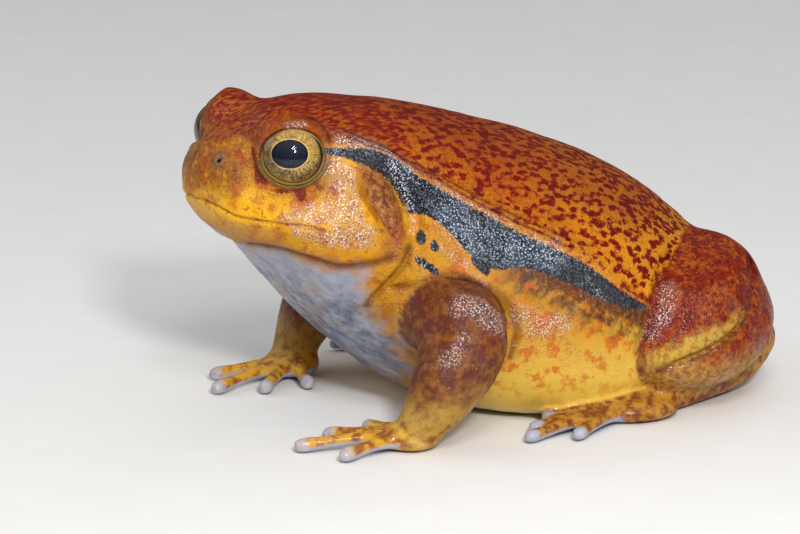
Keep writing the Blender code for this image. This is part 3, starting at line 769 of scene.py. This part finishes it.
class Finish:
    """A material and its shading nodes, with sizes in millimetres."""

    def __init__(self, name, **values):
        self.material = bpy.data.materials.new(name)
        self.material.use_nodes = True
        self.tree = self.material.node_tree
        self.surface = self.tree.nodes["Principled BSDF"]
        self.give(self.surface, {key.replace("_", " "): value for key, value in values.items()})
        self.here = self.add("TexCoord").outputs["Object"]

    def give(self, node, inputs):
        """Sets inputs of a node: a socket is linked to it, and text is a colour as on a screen."""
        for name, value in inputs.items():
            if isinstance(value, bpy.types.NodeSocket):
                self.tree.links.new(value, node.inputs[name])
            else:
                node.inputs[name].default_value = dye(value) if isinstance(value, str) else value

    def add(self, kind, inputs=None, **settings):
        """Adds a shading node of this kind."""
        node = self.tree.nodes.new("ShaderNode" + kind)
        for name, value in settings.items():
            setattr(node, name, value)
        self.give(node, inputs or {})
        return node

    def math(self, operation, first, *others):
        """Works on numbers from the left to the right."""
        for other in others:
            first = self.add("Math", {0: first, 1: other}, operation=operation).outputs[0]
        return first

    def sum(self, *terms):
        return self.math("ADD", *terms)

    def times(self, *factors):
        return self.math("MULTIPLY", *factors)

    def most(self, *values):
        return self.math("MAXIMUM", *values)

    def rest(self, share):
        """What is left of 1."""
        return self.math("SUBTRACT", 1.0, share)

    def rise(self, value, low, high):
        """0 below low, 1 above high, and a smooth rise between; it falls where low is above high."""
        values = {"Value": value, "From Min": min(low, high), "From Max": max(low, high)}
        values.update({"To Min": 0.0, "To Max": 1.0} if low < high else {"To Min": 1.0, "To Max": 0.0})
        return self.add("MapRange", values, interpolation_type="SMOOTHSTEP").outputs["Result"]

    def mark(self, name):
        """A number that the mesh keeps for each point."""
        return self.add("Attribute", attribute_name=name).outputs["Fac"]

    def marked(self, name, low, high, edge=None, share=1.0):
        """Where a number that the mesh keeps is high, its edge made ragged by a share of another number."""
        value = self.mark(name)
        if edge is not None:
            value = self.sum(value, self.times(edge, share))
        return self.rise(value, low, high)

    def place(self, stretch):
        """The place on the finished piece, stretched along its axes."""
        return self.add("Mapping", {"Vector": self.here, "Scale": stretch}).outputs["Vector"]

    def noise(self, size, detail=2.0, roughness=0.5, stretch=(1.0, 1.0, 1.0)):
        """Cloudy noise about 0.5, with clouds of this size."""
        values = {"Vector": self.place(stretch), "Scale": 1 / (size * MM), "Detail": detail,
                  "Roughness": roughness}
        return self.add("TexNoise", values).outputs["Fac"]

    def patches(self, size, low, high, detail=4.0, roughness=0.6):
        """1 in the patches of a noise of this size and 0 between them, with edges from low to high."""
        return self.rise(self.noise(size, detail, roughness), low, high)

    def uneven(self, size, height, detail=4.0, roughness=0.6, stretch=(1.0, 1.0, 1.0)):
        """Noise about 0, of this size and height."""
        return self.times(self.sum(self.noise(size, detail, roughness, stretch), -0.5), height)

    def cells(self, size):
        """The distance to the middle of rounded cells of this size, from 0."""
        values = {"Vector": self.place((1.0, 1.0, 1.0)), "Scale": 1 / (size * MM)}
        return self.add("TexVoronoi", values).outputs["Distance"]

    def mix(self, where, first, second, share=1.0):
        """The first colour with the second laid over it where a number says so, by a share of it."""
        share_there = where if share == 1.0 else self.times(where, share)
        return self.add("Mix", {0: share_there, 6: first, 7: second}, data_type="RGBA").outputs[2]

    def coats(self, first, *others):
        """A colour with others laid over it in turn, each given as where, its colour and its share."""
        for where, colour, *share in others:
            first = self.mix(where, first, colour, *share)
        return first

    def darken(self, where, colour, tint, share):
        """A colour multiplied by a tint where a number says so, by a share of it."""
        values = {0: self.times(where, share), 6: colour, 7: tint}
        return self.add("Mix", values, data_type="RGBA", blend_type="MULTIPLY").outputs[2]


GRANULE = 0.31
DOTS_PER_METRE = 980.0
WOBBLES_PER_METRE = 1000.0
WOBBLE = 0.0011  # how far the dots of the back are moved about, in metres
hide = Finish("wet_frog_skin", Roughness=0.65, Specular_IOR_Level=0.04, Coat_Roughness=0.11, Coat_IOR=1.5)
ragged = hide.uneven(1.1, 2.4, 4.0, 0.65)
fringe = hide.uneven(0.6, 0.9, 3.0)
soft_ragged = hide.uneven(3.6, 9.0)
specks = hide.noise(0.7, 3.0, 0.6)
back = hide.mark("back")
height = hide.mark("height")
stripe_edge = hide.mark("stripe")
backward = hide.add("SeparateXYZ", {0: hide.here}).outputs["Y"]
headed = hide.marked("head", -2.0, 2.5)

# Flank and belly: yellow, with soft orange spots, and a dusky mottling below the rear half of the band.
dusky = hide.times(hide.rise(backward, -0.009, -0.003), hide.rise(back, 0.0, -0.8))
dusk = hide.sum(hide.noise(1.5, 5.0, 0.7), hide.times(hide.rise(stripe_edge, -2.2, 0.0), 0.14))
below_band = hide.rise(hide.sum(stripe_edge, hide.times(ragged, 1.6)), -5.6, -2.2)
brown = hide.mix(hide.rise(specks, 0.36, 0.68), "34201A", "6E4022")
flank = hide.coats(
    "D6B046",
    (hide.rise(height, 4.0, 17.0), "B67E22"),
    (hide.rise(height, 3.0, 0.3), "D8C088"),
    (hide.times(hide.patches(2.2, 0.48, 0.62, 4.0, 0.62), hide.rise(height, 1.5, 9.0)), "B8540F", 0.8),
    (hide.times(below_band, hide.rise(dusk, 0.36, 0.58), dusky), brown, 0.92),
)

# Side of the head: yellow lips and cheeks with small red spots, and a browner snout.
snouted = hide.times(hide.rise(backward, -0.032, -0.040), hide.rise(back, -7.5, -3.0))
snouted = hide.times(snouted, hide.patches(1.6, 0.14, 0.50, 3.0))
freckles = hide.times(hide.patches(0.6, 0.51, 0.58, 4.0, 0.7), hide.times(snouted, 0.9))
cheek = hide.coats(
    "E0A418",
    (hide.patches(2.4, 0.44, 0.66, 3.0, 0.5), "C07212"),
    (hide.patches(1.0, 0.56, 0.67), "8E3414", 0.7),
    (snouted, "7A3C14", 0.85),
    (freckles, "62240C", 0.6),
    (hide.rise(height, 31.5, 28.0), "90580E", 0.55),
)

# Back and top of the head: orange, spotted with dark red on the trunk and streaked with it on the head.
# Higher up the back the ground and the spots darken, partly a redder colour and partly painted shade where
# the back turns away from the light; low on the rear of the back the orange is paler.
paler_rear_back = hide.times(hide.rise(backward, -0.005, 0.018), hide.rise(back, 15.0, 6.0))
# The ground darkens higher up the back: partly a redder colour, partly painted shade.
ground = hide.coats(
    "C8801A",
    (hide.rise(back, 0.0, 5.0), "A85C12"),
    (hide.rise(back, 4.0, 11.0), "904410"),
    (hide.patches(0.5, 0.38, 0.64, 3.0), "8E3C10", 0.8),
    (paler_rear_back, "CE8A1C", 0.75),
    (headed, "74380E", 0.5),
)
values = {"Vector": hide.here, "Scale": WOBBLES_PER_METRE, "Detail": 2.0}
wobble = hide.add("TexNoise", values).outputs["Color"]
wobble = hide.add("VectorMath", {0: wobble, 1: (-0.5, -0.5, -0.5)}, operation="ADD").outputs[0]
wobble = hide.add("VectorMath", {0: wobble, 1: (WOBBLE, WOBBLE, WOBBLE)}, operation="MULTIPLY").outputs[0]
shaken = hide.add("VectorMath", {0: hide.place((1.0, 0.62, 1.0)), 1: wobble}, operation="ADD").outputs[0]
values = {"Vector": shaken, "Scale": DOTS_PER_METRE, "Randomness": 0.9}
dots = hide.times(hide.sum(hide.add("TexVoronoi", values).outputs["Distance"], -0.42), -0.55)
dots = hide.sum(dots, hide.uneven(0.95, 0.9, stretch=(1.0, 0.75, 1.0)))
streaks = hide.sum(hide.noise(0.56, 4.0, 0.6, (1.0, 0.38, 1.0)), -0.46)
values = {0: hide.marked("head", -2.2, -0.6), 2: dots, 3: streaks}
netting = hide.add("Mix", values, data_type="FLOAT").outputs[0]
fullness = hide.sum(hide.uneven(8.0, 0.10, 2.0, 0.5), hide.times(hide.rise(back, 0.0, 8.0), 0.08))
fullness = hide.math("SUBTRACT", fullness, hide.times(paler_rear_back, 0.02))
shown = hide.sum(netting, fullness, -0.025)
reds = hide.mix(hide.rise(shown, 0.0, 0.12), "8E2A10", "66150D")
# The spots darken higher up the back: partly a redder colour, partly painted shade.
reds = hide.mix(hide.rise(back, 5.0, 12.0), reds, "58140C", 0.5)
backs = hide.mix(hide.rise(shown, -0.08, 0.05), ground, reds)

# Throat and chest: bluish white, clouded with yellow, and darker low down.
throat_depth = hide.sum(hide.mark("throat"), hide.times(soft_ragged, 0.6))
bordering = hide.times(hide.rise(throat_depth, -4.5, -0.5), hide.rise(headed, 0.9, 0.3))
pale = hide.coats(
    "525A70",
    (hide.patches(2.0, 0.28, 0.72, 5.0, 0.65), "9CA2B2"),
    (hide.patches(4.4, 0.54, 0.70), "B4924C", 0.6),
    (hide.rise(height, 15.0, 4.0), "525770", 0.55),
    (hide.rise(height, 16.0, 24.0), "A8A8B6", 0.55),
)

# Limbs: ochre arms and feet clouded with brown, dark red thighs and shanks with a yellow lower edge.
low_arm = hide.mix(hide.patches(1.7, 0.44, 0.66), "B48E3C", "8A5226")
arm = hide.coats(
    "88521F",
    (hide.patches(1.3, 0.30, 0.64, 5.0, 0.66), "582616"),
    (hide.patches(2.6, 0.46, 0.62), "5C2A24", 0.75),
    (hide.rise(hide.sum(height, soft_ragged), 11.0, 4.0), low_arm, 0.85),
)
low = hide.sum(height, hide.times(soft_ragged, 0.6))
olive = hide.mix(hide.rise(specks, 0.3, 0.7), "C09440", "845028")
knee = hide.mix(hide.patches(0.9, 0.42, 0.66), "BE9838", "94642A")
thigh = hide.coats(
    "7E2210",
    (hide.patches(3.0, 0.40, 0.64, 3.0), "A84E12"),
    (hide.patches(0.85, 0.38, 0.64, 4.0, 0.65), "5E140C"),
    (hide.patches(0.5, 0.58, 0.68, 3.0), "BC7420", 0.5),
    (hide.rise(low, 10.5, 5.5), olive),
    (hide.marked("knee", -0.7, 1.3, ragged, 1.3), knee, 0.92),
)
foot = hide.mix(hide.patches(1.6, 0.38, 0.62, 4.0, 0.62), "B07E2E", "74381C")
hand = hide.mix(hide.patches(1.6, 0.42, 0.64), "C8942E", "8A5024")
soled = hide.times(hide.marked("downward", -0.15, 0.45), hide.marked("tip", 8.5, 7.5))
soled = hide.times(soled, hide.rise(hide.most(hide.mark("hand"), hide.mark("foot")), 0.0, 0.6))
tipped = hide.most(hide.marked("tip", 1.7, 0.7, ragged, 0.4), soled)

# Dark band: blue-black and the most granular. The pale tops of its grains are partly their own colour and
# partly painted highlight; where the gleam strokes lie, on the band and off it, glints and a sheen are
# painted on.
granule = hide.cells(GRANULE)
topped = hide.rise(granule, 0.50, 0.16)
sprinkled = hide.rise(hide.noise(3.4, 3.0, 0.6, (1.0, 0.6, 1.0)), 0.42, 0.62)
sprinkled = hide.times(sprinkled, hide.patches(0.7, 0.30, 0.62, 2.0, 0.5))
gleam = hide.marked("gleam", -0.9, 0.8, soft_ragged, 0.25)
gleaming = hide.times(gleam, topped, hide.patches(1.2, 0.32, 0.54, 3.0, 0.5))
strewn = hide.sum(hide.times(sprinkled, 0.65), hide.sum(0.08, hide.times(gleam, 0.55)))
dark = hide.coats(
    "05080F",
    (hide.rise(specks, 0.40, 0.66), "161F2E"),
    (hide.times(gleam, hide.patches(1.4, 0.36, 0.60, 5.0, 0.7)), "667286", 0.45),
    (hide.times(topped, strewn), "BCC6D4"),
)
rimmed = hide.times(hide.rise(hide.sum(stripe_edge, ragged), -0.9, -0.2), hide.rest(dusky))
banded = hide.rise(hide.sum(stripe_edge, fringe), -0.12, 0.16)
unbanded = hide.rest(banded)

# Face: the ear is a brown leaf with a red foot, and each red blotch has a paler edge.
leaf = hide.coats(
    "A8703A",
    (hide.patches(0.9, 0.38, 0.64), "6A3820"),
    (hide.rise(height, 32.0, 28.0), "7E2814", 0.6),
)
flushed = hide.marked("flush", -0.3, 0.5, ragged, 0.75)
flushed = hide.most(flushed, hide.times(hide.marked("blotch", -0.7, 0.2, ragged), 0.7))

# The coats of the whole skin, from the lowest one up.
colour = hide.coats(
    flank,
    (headed, cheek),
    (hide.rise(hide.sum(back, ragged), -0.4, 0.5), backs),
    (bordering, "C8A04C", 0.6),
    (hide.rise(throat_depth, -1.4, 1.8), pale),
    (hide.marked("arm", -0.8, 0.8, ragged), arm),
    (hide.marked("thigh", -1.1, -0.3, ragged, 0.6), thigh),
    (hide.marked("foot", -0.5, 0.5), foot),
    (hide.marked("hand", -0.5, 1.0), hand),
    (tipped, hide.mix(specks, "8492AE", "BCC4D2"), 0.85),
    (hide.mark("lid"), "84400F", 0.6),
    (rimmed, "C88230", 0.4),
    # Painted highlights: where the gleam strokes lie, a pale veil and pale grain tops stand for the light of
    # the wet skin.
    (hide.times(gleam, hide.sum(0.14, hide.times(headed, 0.28))), "A07866"),
    (hide.times(gleaming, hide.sum(0.7, hide.times(headed, 0.22))), "EADCDE"),
    (banded, dark),
    # Painted glint: pale grain tops along the fold over the ear.
    (hide.times(hide.marked("painted_ridge_glint", 0.2, 0.6), topped), "C8C4D0", 0.85),
    (hide.times(hide.marked("ear", -1.8, -0.3, ragged), unbanded), "8A5420", 0.4),
    (hide.times(hide.marked("ear", -0.5, 0.6, ragged, 0.6), unbanded), leaf),
    (flushed, "962408", 0.75),
    (hide.marked("blotch", -0.05, 0.3, ragged, 0.8), "641006", 0.92),
    (hide.mark("low_lid"), "6E5830", 0.9),
    (hide.marked("mouth", 0.42, 0.10), "884434", 0.8),
    (hide.marked("nostril", 1.25, 0.7, fringe), "78624E", 0.7),
    # Painted shade: the nostril's pit is drawn near black, for the depth of its opening.
    (hide.marked("nostril", 0.42, 0.22), "1C120C"),
)
# Painted shade: the skin is multiplied darker in its creases, the armpit and the wrinkles over the back's
# fold.
colour = hide.darken(hide.mark("painted_crease_shade"), colour, "7C462A", 0.85)

# Grain: small rounded granules, most on the band, the cheeks and the limbs, with the wet film over them.
granules = hide.rest(hide.times(granule, granule))
patchy = hide.patches(4.0, 0.35, 0.62, 2.0, 0.5)
grainy = hide.times(hide.marked("throat", 1.0, -1.0), hide.sum(0.35, hide.rise(height, 4.0, 14.0)))
grainy = hide.times(hide.sum(0.05, hide.times(patchy, 0.09)), grainy)
grainy = hide.sum(grainy, hide.times(banded, 0.05), hide.times(gleam, 0.08))
relief = hide.sum(hide.times(granules, grainy), hide.times(hide.noise(1.3, 3.0, 0.5), 0.03))
bump = hide.add("Bump", {"Height": relief, "Distance": MM, "Strength": 1.0}).outputs["Normal"]
drier_back = hide.rest(hide.times(hide.rise(back, 0.5, 3.0), 0.88))
wet = hide.most(hide.times(hide.sum(0.22, hide.times(patchy, 0.38)), drier_back), banded, gleam)
hide.give(hide.surface, {"Base Color": colour, "Normal": bump, "Coat Normal": bump, "Coat Weight": wet})
skin.data.materials.clear()
skin.data.materials.append(hide.material)
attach(skin, "root")
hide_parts(*flesh)

# The eyes
# Each eyeball is a wet globe whose iris lies a little sunk behind a clear, bulging cornea. The iris is gold
# with fine brown netting, a dark line and a pale gold ring at its edge. The pupil is wide and blue-black.
GLOBE_RADIUS = 5.15
IRIS_SINKS = ((0.93, 1.0, 0.12), (0.55, 0.93, 0.16), (0.50, 0.56, 0.10))  # from and to a share, and depth
PUPIL_SHARES = (0.56, 0.50)
PUPIL_SHIFT = (-0.10, 0.08)
CORNEA_BULGE = 1.0
CORNEA_EDGE = 1.02
CORNEA_SINK = 0.30  # how far its rim lies under the white of the eye, where it isn't seen


def eyeball(name, one_side, segments, rings):
    """A sphere in an eye's place, its poles on the eye's axis. Its points' places over the opening come with
    it: how far behind the axis and above it, as shares of the half width and height."""
    middle = eye_centre * [one_side, 1.0, 1.0]
    ahead, above, behind = eye_axes(one_side)
    bpy.ops.object.select_all(action="DESELECT")
    bpy.ops.mesh.primitive_uv_sphere_add(segments=segments, ring_count=rings, radius=GLOBE_RADIUS * MM)
    ball = bpy.context.object
    ball.name = ball.data.name = name
    put(ball, middle + places(ball) @ np.array([behind * one_side, above, ahead]))
    way = places(ball) - middle
    way = way / np.linalg.norm(way, axis=1)[:, None]
    shares = np.array([way @ axis * EYE_RADIUS / half for axis, half in zip((behind, above), EYE_OPENING)])
    return ball, np.where(way @ ahead > 0, shares, 3.0 * np.sign(shares + 1e-9))


def swell(ball, one_side, amount):
    """Moves the points of an eyeball away from its middle by their own amount."""
    middle = eye_centre * [one_side, 1.0, 1.0]
    put(ball, middle + (places(ball) - middle) * ((GLOBE_RADIUS + amount) / GLOBE_RADIUS)[:, None])


iris = Finish("gold_iris", Roughness=0.6, Specular_IOR_Level=0.1)
across = iris.mark("iris_across")
upward_share = iris.mark("iris_upward")
across_squared = iris.times(across, across)
radius_share = iris.math("POWER", iris.sum(across_squared, iris.times(upward_share, upward_share)), 0.5)
direction = iris.add("CombineXYZ", {
    "X": iris.math("DIVIDE", across, radius_share),
    "Y": iris.math("DIVIDE", upward_share, radius_share),
    "Z": iris.times(radius_share, 0.35),
}).outputs[0]
values = {"Vector": direction, "Scale": 9.0, "Detail": 5.0, "Roughness": 0.65}
fibres = iris.add("TexNoise", values).outputs["Fac"]
net = iris.noise(0.34, 4.0, 0.7)
lower = iris.rise(upward_share, 0.1, -0.8)
netted = iris.rise(iris.sum(net, iris.times(lower, 0.07)), 0.54, 0.62)
ring_share = iris.sum(radius_share, iris.times(iris.rise(across, 0.3, 0.9), 0.03))
overhead = iris.rise(iris.sum(upward_share, iris.times(across, -0.4)), 0.15, 0.7)
pupil_across = iris.times(iris.sum(across, -PUPIL_SHIFT[0]), 1 / PUPIL_SHARES[0])
pupil_up = iris.times(iris.sum(upward_share, -PUPIL_SHIFT[1]), 1 / PUPIL_SHARES[1])
pupil_share = iris.sum(iris.times(pupil_across, pupil_across), iris.times(pupil_up, pupil_up))
wavy = iris.sum(pupil_share, iris.times(iris.sum(fibres, -0.5), 0.10))
gold = iris.coats(
    "8E6C30",
    (iris.rise(fibres, 0.35, 0.68), "CBA656"),
    (netted, "3A2A16", 0.85),
    (iris.rise(radius_share, 0.82, 0.88), "A88848"),
    (iris.times(iris.rise(ring_share, 0.875, 0.885), iris.rest(overhead)), "181008"),
    (iris.rise(radius_share, 0.905, 0.925), iris.mix(overhead, "CDB45C", "8C5C22")),
    (iris.rise(radius_share, 0.975, 0.99), "2A2014"),
    (iris.rise(wavy, 1.22, 1.10), "E0C070"),
    (iris.rise(wavy, 1.10, 1.04), "050C20"),
)
iris_bump = iris.add("Bump", {"Height": iris.sum(fibres, net), "Distance": 0.05 * MM, "Strength": 0.6})
iris.give(iris.surface, {"Base Color": gold, "Normal": iris_bump.outputs["Normal"]})

clear = Finish("clear_cornea")
clear.tree.nodes.remove(clear.surface)
film = clear.add("MixShader", {
    0: clear.add("Fresnel", {"IOR": 1.38}).outputs[0],
    1: clear.add("BsdfTransparent").outputs[0],
    2: clear.add("BsdfAnisotropic", {"Color": (1, 1, 1, 1), "Roughness": 0.05}).outputs[0],
})
clear.tree.links.new(film.outputs[0], clear.tree.nodes["Material Output"].inputs["Surface"])

for side_name, one_side in (("left", 1), ("right", -1)):
    globe, shares = eyeball("globe_" + side_name, one_side, 128, 96)
    share = np.hypot(*shares)
    sink = sum(depth * (1 - ease(inner, outer, share)) for inner, outer, depth in IRIS_SINKS)
    swell(globe, one_side, -sink)
    mark(globe, "iris_across", shares[0])
    mark(globe, "iris_upward", shares[1])
    globe.data.shade_smooth()
    globe.data.materials.append(iris.material)
    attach(globe, "root")
    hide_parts("eye_" + side_name)

    cornea, shares = eyeball("cornea_" + side_name, one_side, 96, 64)
    share = np.hypot(*shares)
    bulge = CORNEA_BULGE * np.clip(1 - (share / CORNEA_EDGE) ** 2, 0, 1)
    bulge -= CORNEA_SINK * ease(0.94, 1.06, share)
    swell(cornea, one_side, bulge)
    cornea.data.shade_smooth()
    cornea.data.materials.append(clear.material)
    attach(cornea, "root")
    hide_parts("eye_" + side_name)

# The floor and the light
# A sheet of pale paper, a large soft light from the viewer's upper right, a weaker one from the frog's right
# and one behind its back. A smaller soft light near the camera draws the glitter of the wet skin.
FLOOR_SIZE = 4.0
FLOOR_DROP = 0.0002
bpy.ops.object.select_all(action="DESELECT")
bpy.ops.mesh.primitive_plane_add(size=FLOOR_SIZE, location=(0, 0, -FLOOR_DROP))
floor = bpy.context.object
floor.name = "pale_floor"
paper = Finish("pale_paper", Roughness=0.85)
paper.give(paper.surface, {"Base Color": paper.mix(paper.noise(9.0, 3.0), "E2E0DC", "E8E6E2")})
floor.data.materials.append(paper.material)

# The room is bright overhead and dim low down, so that no pale sheen lies over the frog's back.
studio = bpy.data.worlds.new("studio")
bpy.context.scene.world = studio
studio.use_nodes = True
sky = studio.node_tree
toward = sky.nodes.new("ShaderNodeTexCoord")
split = sky.nodes.new("ShaderNodeSeparateXYZ")
brightness = sky.nodes.new("ShaderNodeMapRange")
sky.links.new(toward.outputs["Generated"], split.inputs[0])
sky.links.new(split.outputs["Z"], brightness.inputs["Value"])
for name, value in {"From Min": 0.1, "From Max": 0.8, "To Min": 0.10, "To Max": 0.65}.items():
    brightness.inputs[name].default_value = value
sky.nodes["Background"].inputs["Color"].default_value = (0.92, 0.95, 1.0, 1)
sky.links.new(brightness.outputs["Result"], sky.nodes["Background"].inputs["Strength"])


def softbox(name, place, size, watts):
    """A round, soft light that faces the frog."""
    bpy.ops.object.light_add(type="AREA", location=Vector(place) * MM)
    lamp = bpy.context.object
    lamp.name = name
    lamp.data.shape = "DISK"
    lamp.data.size = size * MM
    lamp.data.energy = watts
    lamp.rotation_euler = (aim - Vector(place)).to_track_quat("-Z", "Y").to_euler()


softbox("key_light", (370, -170, 365), 150, 1.0)
softbox("glitter_light", (430, -150, 260), 60, 1.7)
softbox("fill_light", (-420, -420, 300), 400, 0.6)
softbox("rim_light", (-250, 450, 380), 260, 0.2)
bpy.context.scene.view_settings.view_transform = "Standard"
